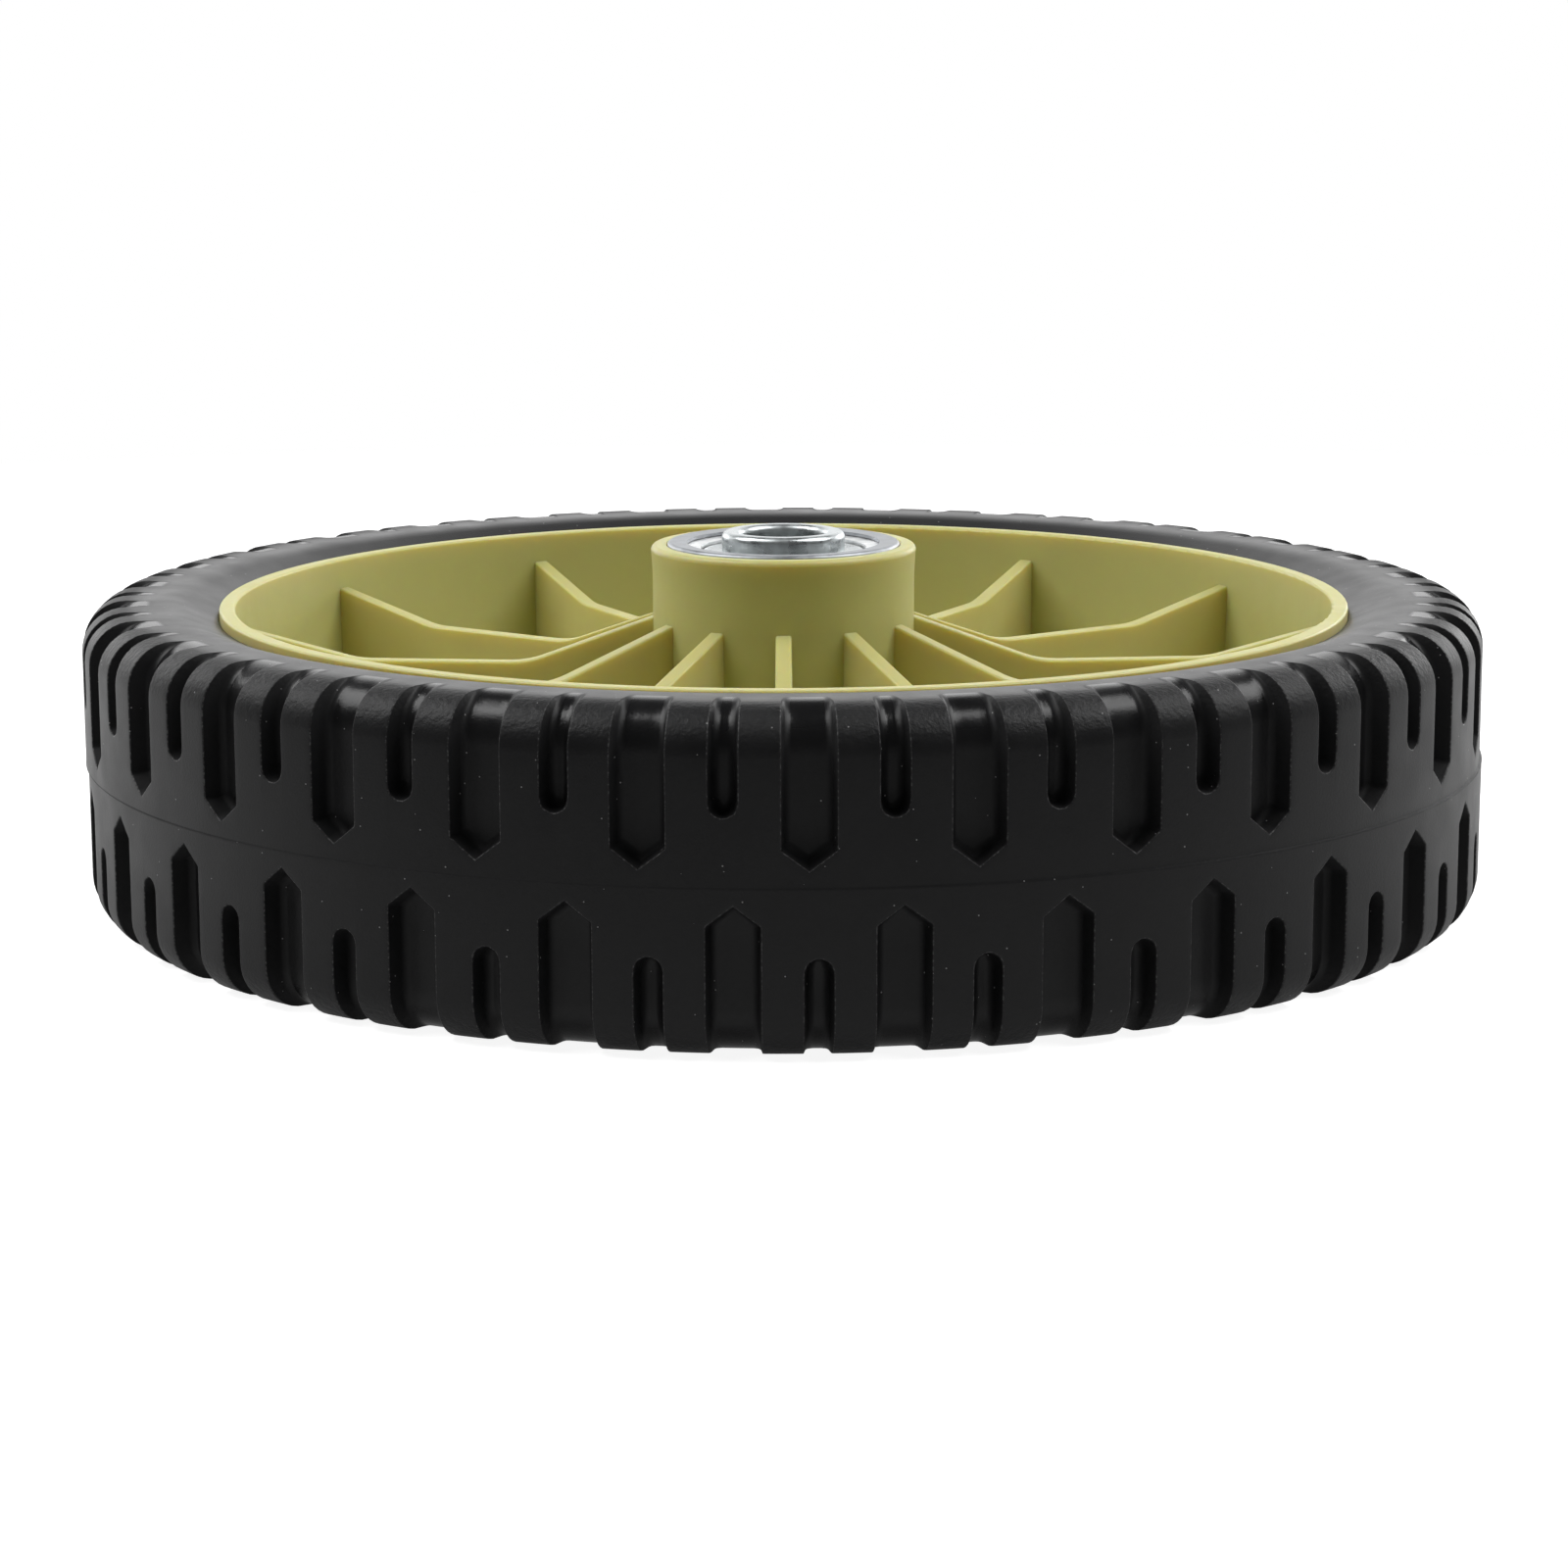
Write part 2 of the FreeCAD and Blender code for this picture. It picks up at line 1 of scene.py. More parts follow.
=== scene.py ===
# %% [markdown]
# # Lawn mower wheel
#
# An eight inch wheel from a walk-behind lawn mower, lying flat on its sidewall as it does in the
# photograph. A black tyre with two rows of tread grooves sits over the ridge of a pale olive wheel
# moulding, and a zinc plated ball bearing is pressed into each end of the hub tube.
#
# The plastic moulding and the bearings are shown as the solids they are made as. The tyre gets a finished
# surface of its own, because moulded rubber shows what a plain solid does not: softened groove edges, a
# thin flash along the parting line, and two mould halves that do not quite meet.

import math

import bpy
import numpy as np
from mathutils import Matrix, Vector


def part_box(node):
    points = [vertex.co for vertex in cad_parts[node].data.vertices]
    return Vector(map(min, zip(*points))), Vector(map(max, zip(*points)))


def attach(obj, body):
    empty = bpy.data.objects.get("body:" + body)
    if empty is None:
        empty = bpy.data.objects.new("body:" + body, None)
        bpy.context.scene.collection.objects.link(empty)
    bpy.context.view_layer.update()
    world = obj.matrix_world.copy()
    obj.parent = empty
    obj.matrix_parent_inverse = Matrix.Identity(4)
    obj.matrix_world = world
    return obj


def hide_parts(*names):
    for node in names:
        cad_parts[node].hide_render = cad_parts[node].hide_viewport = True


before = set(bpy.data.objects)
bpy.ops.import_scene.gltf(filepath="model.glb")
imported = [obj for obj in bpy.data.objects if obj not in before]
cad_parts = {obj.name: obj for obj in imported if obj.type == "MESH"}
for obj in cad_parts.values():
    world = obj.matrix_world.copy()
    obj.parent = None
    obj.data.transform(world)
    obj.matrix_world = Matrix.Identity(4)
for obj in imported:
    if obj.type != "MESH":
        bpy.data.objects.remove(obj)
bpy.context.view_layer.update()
MM = 0.001
print("nodes", sorted(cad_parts))

# %% [markdown]
# ## Sizes of the tyre
#
# The outer radius and the width are read from the solid tyre, so that the finished surface always fits
# it. The tread is the moulder's drawing: thirty pitches, and in each pitch a wide groove that ends in a
# point and a narrow slot with a round end. The two rows are the same, with the lower one turned by less
# than half a pitch. All sizes are in millimetres, as on a drawing, and become metres only when the points
# are placed.

# %% section of the tyre
tyre_low, tyre_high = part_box("tyre")
mid_height = (tyre_high.z + tyre_low.z) / 2 / MM
half_width = (tyre_high.z - tyre_low.z) / 2 / MM

flash_height = 0.05
flash_crest = 0.07
flash_foot = 0.26
half_shift = 0.16
tread_radius = tyre_high.x / MM - half_shift - flash_height
shoulder_radius = 6.2
crest_radius = tread_radius - shoulder_radius
shoulder_start = half_width - shoulder_radius

rim_radius = 82.0
bead_drop = 2.4
bead_edge_radius = 0.5
sidewall_slope = 6.0
bend_radius = 8.0
ridge_radius = rim_radius + 2.5
ridge_foot = 6.0
ridge_top = 4.0
print("tread radius and half width in mm", round(tread_radius, 2), round(half_width, 2))

# %% tread
groove_count = 30
groove_depth = 3.0
groove_draft = math.radians(8)
groove_run_out = 0.1
land_edge_radius = 0.22
floor_edge_radius = 1.0
vee_half = 3.45
vee_tip = 2.2
vee_slope = 2.6 / vee_half
slot_half = 1.85
slot_turn = 8.8 + slot_half
pitch = 2 * math.pi * tread_radius / groove_count
row_phase = math.radians(1.84)
row_stagger = math.radians(5.5)
print("tread pitch in mm", round(pitch, 2))

# %% [markdown]
# ## Groove wall
#
# A steel mould leaves every tread edge slightly round and every groove a little narrower at its floor, so
# that the tyre can be pulled out. A Bevel modifier could round the edges, but it pinches where a groove
# ends in a point. So one wall is drawn once, from the land down to the floor, and the whole tread is laid
# out from it: the same six steps are used along the sides of a groove and round its end.


# %% groove wall
def groove_wall():
    """Offsets outwards from the drawn edge of a groove, and depths below the land, of six points on its wall.

    The land edge turns through a quarter circle less the draft, a straight drafted wall follows, and a second
    arc turns back to the floor: offset = -radius * sin(turn), depth = radius * (1 - cos(turn)) for each arc.
    """
    turn = (math.pi / 2 - groove_draft) * np.array([0.0, 0.5, 1.0])
    fall = 1 - np.cos(turn)
    straight = groove_depth - (land_edge_radius + floor_edge_radius) * fall[-1]
    top_offset = land_edge_radius * (np.tan(turn[-1] / 2) - np.sin(turn))
    low_offset = floor_edge_radius * (np.sin(turn[::-1]) - np.sin(turn[-1]))
    low_offset += top_offset[-1] - straight * math.tan(groove_draft)
    offsets = np.concatenate([top_offset, low_offset])
    depths = np.concatenate([land_edge_radius * fall, groove_depth - floor_edge_radius * fall[::-1]])
    return offsets, depths


wall_offset, wall_depth = groove_wall()
wall_steps = np.arange(len(wall_offset))
last_step = wall_steps[-1]
print("wall offsets", wall_offset.round(2), "depths", wall_depth.round(2))

# %% [markdown]
# ## One row of the tread
#
# The grooves could be cut with Boolean modifiers, but those leave ragged faces where a groove runs out
# over the round shoulder. So one row is a grid instead, of columns round the tyre and lines from the
# parting line over the shoulder to the bore. Columns stand exactly on the groove edges and walls. The
# lines near a groove end bend with it, following the point of a wide groove or the round end of a slot,
# so both stay crisp without a fine mesh everywhere.


# %% columns of a groove
def groove_columns(half):
    """Places across a groove from its middle, and the wall step each one stands on, deepest in the middle."""
    side = half + wall_offset
    inner = side[-1] * np.array([-0.5, 0.0, 0.5])
    place = np.concatenate([-side, inner, side[::-1]])
    step = np.concatenate([wall_steps, np.full(len(inner), last_step), wall_steps[::-1]])
    return place, step


vee_place, vee_step = groove_columns(vee_half)
slot_place, slot_step = groove_columns(slot_half)
print("columns of a groove", len(vee_place), "of a slot", len(slot_place))

# %% lines round the groove ends
line_gap = 0.35


def vee_end(place, offset):
    """Height of a pointed groove end: the tip plus the slope times the distance from the middle, moved out."""
    return vee_tip + vee_slope * np.abs(place) - offset * math.hypot(1, vee_slope)


def slot_end(place, offset):
    """Height of a round slot end: the turn less the height of a circle of the slot's half width, moved out."""
    return slot_turn - np.sqrt(np.maximum((slot_half + offset) ** 2 - place**2, 0))


def end_lines(end, place, step):
    """Heights of the lines round a groove end, one for each wall step, at each column.

    Down to the column's own step a line is the groove end moved out by that step of the wall. Past it the
    column is already on the side wall, so further lines just go on at an even spacing.
    """
    line = wall_steps[:, None]
    shared = np.minimum(line, step[None, :])
    return end(place[None, :], wall_offset[shared]) + line_gap * np.maximum(line - step[None, :], 0)


vee_line = end_lines(vee_end, vee_place, vee_step)
slot_line = end_lines(slot_end, slot_place, slot_step)
print("lines round a groove end", len(vee_line))

# %% columns of one pitch
land_columns = 4


def pitch_columns():
    """Places, wall steps and end lines of the columns of one pitch: wide groove, land, slot, land.

    Across a land the lines ease from one groove end to the next by share^2 * (3 - 2 * share).
    """
    share = np.linspace(0, 1, land_columns + 2)[1:-1]
    start, finish = vee_place[-1], pitch / 2 + slot_place[0]
    land_place = start + (finish - start) * share
    ease = share**2 * (3 - 2 * share)
    land_line = vee_line[:, -1:] * (1 - ease) + slot_line[:, :1] * ease
    land_step = np.zeros(land_columns, int)
    place = np.concatenate([vee_place, land_place, pitch / 2 + slot_place, pitch - land_place[::-1]])
    step = np.concatenate([vee_step, land_step, slot_step, land_step])
    line = np.concatenate([vee_line, land_line, slot_line, land_line[:, ::-1]], axis=1)
    return place, step, line


column_place, column_step, column_line = pitch_columns()
print("columns in one pitch", len(column_place))

# %% section of the sidewall
shoulder_lines = 10
level_lines = 4
slope_point = 2.4
bore_end = 0.5


def sidewall_section():
    """Radii and heights from the shoulder's start to the bore, for one half of the tyre.

    The shoulder is a quarter circle. The level wall meets the slope to the bead in an arc whose turn is the
    slope's angle, a smaller arc turns down into the bore, and the bore steps out to the groove that the ridge
    of the wheel moulding fills. A point of an arc is its centre plus the radius times (cos, sin) of its angle.
    """
    turn = np.radians(np.linspace(0, 90, shoulder_lines + 1))[1:]
    shoulder_r = crest_radius + shoulder_radius * np.cos(turn)
    shoulder_z = shoulder_start + shoulder_radius * np.sin(turn)
    slope = math.atan2(bead_drop, sidewall_slope)
    bend_start = rim_radius + sidewall_slope + bend_radius * math.tan(slope / 2)
    level_r = np.linspace(crest_radius, bend_start, level_lines + 1)[1:]
    level_z = np.full(level_lines, half_width)
    bend = slope * np.array([1 / 3, 2 / 3, 1])
    bend_r = bend_start - bend_radius * np.sin(bend)
    bend_z = half_width - bend_radius * (1 - np.cos(bend))
    slope_r = np.array([rim_radius + slope_point])
    slope_z = half_width - bead_drop + (slope_r - rim_radius) * math.tan(slope)
    bead = np.linspace(math.pi / 2 + slope, math.pi, 4)
    bead_r = rim_radius + bead_edge_radius * (1 + np.cos(bead))
    bead_z = half_width - bead_drop + bead_edge_radius * (np.sin(bead) - math.tan(math.pi / 4 - slope / 2))
    bore_r = np.array([rim_radius, ridge_radius, ridge_radius])
    bore_z = np.array([ridge_foot, ridge_top, bore_end])
    radius = np.concatenate([shoulder_r, level_r, bend_r, slope_r, bead_r, bore_r])
    height = np.concatenate([shoulder_z, level_z, bend_z, slope_z, bead_z, bore_z])
    return radius, height


side_radius, side_height = sidewall_section()
print("lines of the sidewall", len(side_radius))

# %% [markdown]
# ### Marks for the finish
#
# The mould gives each part of the tread its own finish, and wear with a painted highlight along the groove
# edges adds another. One material can show them all if it knows where it is. A painted mask would need a UV
# map, so each point carries four marks instead, which the rubber reads later as attributes.

# %% marks for the rubber
flash_lines = 3
straight_lines = 3
level_edge = 2.0
mark_rise = 1.6
sidewall_gloss = 0.35


def rubber_marks(step, height, plain_radius, sunk):
    """Four marks between 0 and 1 for the points of a row, lines by columns.

    The worn and highlit edge, chalky wear with a painted highlight, is the second step of a groove's wall, and
    the matt wall is all between it and the floor, with the flash's crest. Over the shoulder the sunk parts are
    glossy and
    the raised ones grained: gloss = turned * sunk and grain = turned * (1 - sunk), where turned grows with the
    height above the shoulder's start.
    """
    wall = np.zeros(height.shape, int)
    first_straight = flash_lines + len(wall_steps)
    wall[flash_lines:first_straight] = np.minimum(wall_steps[:, None], step[None, :])
    wall[first_straight : first_straight + straight_lines + shoulder_lines] = step[None, :]
    # The second step of the wall carries chalky wear and a painted highlight along the groove edges.
    worn_and_highlit = (wall == 1).astype(float)
    matt = ((wall > 1) & (wall < last_step)).astype(float)
    matt[0] = 1
    level = np.clip((crest_radius - plain_radius) / level_edge, 0, 1)
    turned = np.clip((height - shoulder_start) / shoulder_radius * mark_rise, 0, 1) * (1 - level)
    gloss = np.maximum(turned * sunk, sidewall_gloss * level)
    grain = turned * (1 - sunk)
    return {"worn_and_highlit_edge": worn_and_highlit, "gloss": gloss, "shoulder_grain": grain, "matt_wall": matt}


print("marked lines of the tread", flash_lines + len(wall_steps) + straight_lines + shoulder_lines)


# %% flash along the parting line
def flash_lines_of(angle):
    """Radius and height of the flash's crest and foot; how far the crest stands out follows two sines."""
    ripple = 0.6 + 0.25 * np.sin(9 * angle + 0.7) + 0.15 * np.sin(41 * angle)
    radius = np.stack([tread_radius + flash_height * ripple, np.full(len(angle), tread_radius)])
    height = np.stack([np.full(len(angle), flash_crest), np.full(len(angle), flash_foot)])
    return radius, height


print("flash in mm", flash_height)


# %% one row of the tread
def tread_row(phase):
    """Radius and height of the points of one half of the tyre, lines by columns, the angle of each column, and
    the marks for the rubber.

    A point on the tread has radius = tread radius - depth, where depth is the wall depth at the shallower of
    its column's step and its line's step. Over the shoulder the whole section moves in by the column's depth,
    and that shift fades out along the level wall, so every groove runs out in a pointed tip.
    """
    count = groove_count * len(column_place)
    start = pitch * np.arange(groove_count)[:, None]
    angle = phase + ((start + column_place[None, :]).ravel()) / tread_radius
    step = np.tile(column_step, groove_count)
    ends = np.tile(column_line, (1, groove_count))
    flash_r, flash_z = flash_lines_of(angle)
    between_z = 0.5 * (flash_z[1:] + ends[:1])
    share = np.arange(1, straight_lines + 1)[:, None] / straight_lines
    straight_z = ends[-1:] * (1 - share) + shoulder_start * share
    end_depth = wall_depth[np.minimum(wall_steps[:, None], step[None, :])]
    column_depth = wall_depth[step][None, :]
    straight_depth = np.repeat(column_depth, straight_lines, axis=0)
    tread_depth = np.concatenate([np.zeros((flash_lines, count)), end_depth, straight_depth])
    tread_r = np.concatenate([flash_r, np.full((len(tread_depth) - len(flash_r), count), tread_radius)])

    side_r = side_radius[:, None]
    side_z = side_height[:, None]
    level_end = side_radius[shoulder_lines + level_lines - 1]
    fade = np.clip((side_r - level_end) / (crest_radius - level_end), 0, 1)
    lift = groove_run_out * column_depth / groove_depth * fade
    lifted_z = np.minimum(side_z + lift, np.maximum(side_z, half_width))
    radius = np.concatenate([tread_r - tread_depth, side_r - column_depth * fade])
    height = np.concatenate([flash_z, between_z, ends, straight_z, lifted_z])

    plain_radius = np.concatenate([tread_r, np.broadcast_to(side_r, (len(side_r), count))])
    sunk = np.concatenate([tread_depth, column_depth * fade]) / groove_depth
    return radius, height, angle, rubber_marks(step, height, plain_radius, sunk)


upper_radius, upper_height, upper_angle, upper_marks = tread_row(row_phase)
lower_radius, lower_height, lower_angle, lower_marks = tread_row(row_phase - row_stagger)
print("lines and columns of a row", upper_radius.shape)

# %% [markdown]
# ## Closing the tyre
#
# The lower row is the upper one turned over. The two halves of the mould are a few tenths of a millimetre
# out of line, so the upper half is moved a little to the left and the lower one to the right. Their
# columns stand at different angles. Bridge Edge Loops could join them, but it takes the points of both
# rings in step and would twist the strip, so the strip is stitched by walking round both rings in order
# of angle.


# %% grid of a row
def grid_faces(lines, columns, first, outwards):
    """Quads of a grid that closes on itself round the axle, wound to face outwards or turned over."""
    line = np.arange(lines - 1)[:, None] * columns
    here = np.arange(columns)[None, :]
    after = (here + 1) % columns
    quad = np.stack([line + here, line + after, line + columns + after, line + columns + here], axis=-1)
    quad = quad.reshape(-1, 4) + first
    return quad if outwards else quad[:, ::-1]


lines, columns = upper_radius.shape
half_count = lines * columns
upper_quads = grid_faces(lines, columns, 0, True)
lower_quads = grid_faces(lines, columns, half_count, False)
quads = np.concatenate([upper_quads, lower_quads])
print("quads of the tyre", len(quads))


# %% strips between the rows
def stitch(lower, upper):
    """Triangles between two rings of points: each step round takes the next point of either ring by angle."""
    turn = 2 * math.pi
    lower = lower[np.argsort(lower_angle % turn)]
    upper = upper[np.argsort(upper_angle % turn)]
    angle = np.concatenate([np.sort(lower_angle % turn), np.sort(upper_angle % turn)])
    order = np.argsort(angle, kind="stable")
    is_upper = order >= len(lower)
    point = np.concatenate([lower, upper])[order]
    upper_before = np.cumsum(is_upper) - is_upper - 1
    lower_before = np.cumsum(~is_upper) - ~is_upper - 1
    return np.stack([lower[lower_before], point, upper[upper_before]], axis=-1)


parting_ring = np.arange(columns)
bore_ring = half_count - columns + parting_ring
parting_strip = stitch(half_count + parting_ring, parting_ring)
bore_strip = stitch(half_count + bore_ring, bore_ring)[:, ::-1]
triangles = np.concatenate([parting_strip, bore_strip])
print("triangles of the strips", len(triangles))

# %% points
shift_start = rim_radius + 1
shift_run = 8.0


def row_points(radius, height, angle, side):
    """Row points in metres: radius and angle about the axle, height from the parting line up or down.

    The mould's shift grows from none at the bead to all of it on the tread.
    """
    slide = -side * half_shift * np.clip((radius - shift_start) / shift_run, 0, 1)
    x = radius * np.sin(angle) + slide
    y = -radius * np.cos(angle)
    z = mid_height + side * height
    return np.stack([x, y, z], axis=-1).reshape(-1, 3) * MM


upper_points = row_points(upper_radius, upper_height, upper_angle, 1)
lower_points = row_points(lower_radius, lower_height, lower_angle, -1)
points = np.concatenate([upper_points, lower_points])
print("points of the tyre", len(points))


# %% normals
def area_normals(points, faces):
    """Normals at the points, each face counting by its area, so that lands stay flat up to their edges.

    The cross product of a face's diagonals is twice its area; for a triangle two of its sides do the same.
    """
    corner = points[faces]
    face_normal = np.cross(corner[:, 2] - corner[:, 0], corner[:, -1] - corner[:, 1])
    total = np.zeros_like(points)
    for corner_index in range(faces.shape[1]):
        np.add.at(total, faces[:, corner_index], face_normal)
    return total


normals = area_normals(points, quads) + area_normals(points, triangles)
normals /= np.linalg.norm(normals, axis=1, keepdims=True)
print("normals", len(normals))

# %% tyre
tyre_mesh = bpy.data.meshes.new("tyre_rubber")
tyre_mesh.from_pydata(points, [], quads.tolist() + triangles.tolist())
tyre_mesh.shade_smooth()
tyre_mesh.normals_split_custom_set_from_vertices(normals)
for name in upper_marks:
    amount = np.concatenate([upper_marks[name].ravel(), lower_marks[name].ravel()]).astype(np.float32)
    tyre_mesh.attributes.new(name, "FLOAT", "POINT").data.foreach_set("value", amount)
tyre_mesh.validate(clean_customdata=False)

tyre = bpy.data.objects.new("tyre_finished", tyre_mesh)
bpy.context.scene.collection.objects.link(tyre)
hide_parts("tyre")
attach(tyre, "wheel")
print("tyre triangles", 2 * len(quads) + len(triangles))

# %% [markdown]
# ## Materials
#
# Pictures of rubber or zinc would need a UV map on every piece. Here all finishes are worked out from
# each piece's own coordinates instead. Noise sizes are written as the number of grains in a metre, so
# that the grain of the rubber or the tumbled zinc keeps its true size.


# %% material helpers
def new_material(name):
    """An empty material with its main shader, and the coordinates of the piece."""
    material = bpy.data.materials.new(name)
    material.use_nodes = True
    tree = material.node_tree
    shader = tree.nodes["Principled BSDF"]
    place = tree.nodes.new("ShaderNodeTexCoord").outputs["Object"]
    return material, tree, shader, place


def noise(tree, place, scale, detail=2.0, roughness=0.5):
    """Soft random grain of so many grains in a metre."""
    node = tree.nodes.new("ShaderNodeTexNoise")
    node.inputs["Scale"].default_value = scale
    node.inputs["Detail"].default_value = detail
    node.inputs["Roughness"].default_value = roughness
    tree.links.new(place, node.inputs["Vector"])
    return node.outputs["Fac"]


def spread(tree, source, start, finish, low, high):
    """A value carried from one range to another and held at its ends."""
    node = tree.nodes.new("ShaderNodeMapRange")
    tree.links.new(source, node.inputs["Value"])
    node.inputs["From Min"].default_value = start
    node.inputs["From Max"].default_value = finish
    node.inputs["To Min"].default_value = low
    node.inputs["To Max"].default_value = high
    return node.outputs["Result"]


def combine(tree, operation, first, second):
    """Two values added, multiplied or compared; either may be a plain number."""
    node = tree.nodes.new("ShaderNodeMath")
    node.operation = operation
    for socket, source in zip(node.inputs, (first, second)):
        if isinstance(source, (int, float)):
            socket.default_value = source
        else:
            tree.links.new(source, socket)
    return node.outputs["Value"]


def mix_colour(tree, share, first, second):
    """A colour between two, each a plain colour or another mix."""
    node = tree.nodes.new("ShaderNodeMix")
    node.data_type = "RGBA"
    tree.links.new(share, node.inputs["Factor"])
    for socket, source in zip((node.inputs[6], node.inputs[7]), (first, second)):
        if isinstance(source, tuple):
            socket.default_value = (*source, 1.0)
        else:
            tree.links.new(source, socket)
    return node.outputs[2]


def bump(tree, shader, height, strength, distance):
    """Raise the surface by a height pattern, up to so many metres."""
    node = tree.nodes.new("ShaderNodeBump")
    node.inputs["Strength"].default_value = strength
    node.inputs["Distance"].default_value = distance
    tree.links.new(height, node.inputs["Height"])
    tree.links.new(node.outputs["Normal"], shader.inputs["Normal"])


print("material helpers ready")

# %% [markdown]
# ### Tyre rubber
#
# Solid rubber straight from the mould: nearly black. The steel of the mould was polished where it made
# the groove floors and etched where it made the shoulders, and the spark left the groove walls rough. So
# the floors are glossy, the lands satin, the walls matt and the shoulders have a pebbled grain. Chalky
# wear and a painted highlight run along the groove edges, and specks of dust lie about. The marks on the
# points say which is where, so one material does for the whole tyre.


# %% marks and dust
def mark(tree, name):
    """One of the marks that the tyre's points carry."""
    node = tree.nodes.new("ShaderNodeAttribute")
    node.attribute_name = name
    return node.outputs["Fac"]


def dust_specks(tree, place, per_metre, size, share):
    """Round specks: so many cells in a metre, a speck in this share of them, its size a part of the cell."""
    cells = tree.nodes.new("ShaderNodeTexVoronoi")
    cells.inputs["Scale"].default_value = per_metre
    tree.links.new(place, cells.inputs["Vector"])
    chance = tree.nodes.new("ShaderNodeSeparateColor")
    tree.links.new(cells.outputs["Color"], chance.inputs["Color"])
    near = combine(tree, "LESS_THAN", cells.outputs["Distance"], size)
    chosen = combine(tree, "LESS_THAN", chance.outputs["Red"], share)
    return combine(tree, "MULTIPLY", near, chosen)


print("marks", list(upper_marks))

# %% tyre rubber colour
deep_black = (0.0055, 0.0055, 0.006)
worn_black = (0.0085, 0.0085, 0.009)
chalk_and_highlight_grey = (0.16, 0.16, 0.16)
dust_grey = (0.5, 0.5, 0.5)
dust_strength = 0.5

rubber, tree, shader, place = new_material("tyre_rubber")
dust = combine(tree, "MULTIPLY", dust_specks(tree, place, 520.0, 0.055, 0.6), dust_strength)
# Chalky wear and a painted highlight: pale grey grains along the groove edges, on the worn edge mark.
chalk_and_highlight_grain = spread(tree, noise(tree, place, 2600.0, 2.0), 0.5, 0.64, 0.08, 0.6)
chalk_and_highlight = combine(tree, "MULTIPLY", mark(tree, "worn_and_highlit_edge"), chalk_and_highlight_grain)
mottle = spread(tree, noise(tree, place, 160.0, 4.0), 0.35, 0.65, 0.0, 1.0)
black = mix_colour(tree, mottle, deep_black, worn_black)
chalked_and_highlit = mix_colour(tree, chalk_and_highlight, black, chalk_and_highlight_grey)
dusted = mix_colour(tree, dust, chalked_and_highlit, dust_grey)
tree.links.new(dusted, shader.inputs["Base Color"])
print("rubber from", deep_black, "to", worn_black)

# %% tyre rubber finish
wall_roughness = 0.22
shoulder_roughness = 0.08
floor_polish = -0.2

satin = spread(tree, mottle, 0.0, 1.0, 0.4, 0.46)
eroded = combine(tree, "MULTIPLY", mark(tree, "matt_wall"), wall_roughness)
etched = combine(tree, "MULTIPLY", mark(tree, "shoulder_grain"), shoulder_roughness)
polished = combine(tree, "MULTIPLY", mark(tree, "gloss"), floor_polish)
roughness = combine(tree, "ADD", combine(tree, "ADD", satin, eroded), combine(tree, "ADD", etched, polished))
tree.links.new(roughness, shader.inputs["Roughness"])
shader.inputs["IOR"].default_value = 1.5
shader.inputs["Specular IOR Level"].default_value = 0.28
pebble = combine(tree, "MULTIPLY", noise(tree, place, 1300.0, 3.0, 0.6), mark(tree, "shoulder_grain"))
fine = combine(tree, "MULTIPLY", noise(tree, place, 3000.0, 2.0), 0.12)
bump(tree, shader, combine(tree, "ADD", pebble, fine), 0.6, 0.00026)
tyre_mesh.materials.append(rubber)
print("rubber nodes", len(tree.nodes))

# %% [markdown]
# ### Wheel plastic
#
# Polypropylene coloured through in a pale yellow green. It lets a little light in, which is why its
# corners and shaded faces look warmer than its lit ones. A plain colour would look painted on, so the
# shader lets light pass below the surface, red furthest and blue least. The tool leaves a faint matt
# grain.

# %% wheel plastic
olive_low = (0.52, 0.5, 0.19)
olive_high = (0.56, 0.54, 0.215)

plastic, tree, shader, place = new_material("wheel_plastic")
cloud = spread(tree, noise(tree, place, 45.0, 3.0), 0.3, 0.7, 0.0, 1.0)
tree.links.new(mix_colour(tree, cloud, olive_low, olive_high), shader.inputs["Base Color"])
sheen = spread(tree, noise(tree, place, 240.0, 3.0), 0.3, 0.7, 0.42, 0.52)
tree.links.new(sheen, shader.inputs["Roughness"])
shader.inputs["IOR"].default_value = 1.49
shader.inputs["Specular IOR Level"].default_value = 0.7
shader.inputs["Subsurface Weight"].default_value = 0.7
shader.inputs["Subsurface Radius"].default_value = (1.0, 0.63, 0.18)
shader.inputs["Subsurface Scale"].default_value = 0.0045
bump(tree, shader, noise(tree, place, 1500.0, 2.0), 0.1, 0.00008)
print("plastic from", olive_low, "to", olive_high)

# %% [markdown]
# ### Zinc plated and ball steel
#
# The races, rings and shields are pressed or turned, tumbled and bright zinc plated: silvery with a cool
# tint, blotchy, and with small ripples that break up the reflections. The race takes the plate darkest
# and the thin shield brightest, so they are told apart at a glance. The balls are ground and polished.
# One function makes all four, because only their tint, gloss and ripple differ.

# %% steels
dull_share = 0.78
pale_share = 1.25


def steel(name, tint, smooth, rough, ripple):
    """A bright metal whose tint and gloss wander together, with ripples so many metres high."""
    material, tree, shader, place = new_material(name)
    blotch = spread(tree, noise(tree, place, 420.0, 3.0), 0.3, 0.7, 0.0, 1.0)
    dull = tuple(dull_share * part for part in tint)
    pale = tuple(min(1.0, pale_share * part) for part in tint)
    tree.links.new(mix_colour(tree, blotch, dull, pale), shader.inputs["Base Color"])
    tree.links.new(spread(tree, blotch, 0.0, 1.0, smooth, rough), shader.inputs["Roughness"])
    shader.inputs["Metallic"].default_value = 0.88
    bump(tree, shader, noise(tree, place, 700.0, 2.0), 0.3, ripple)
    return material


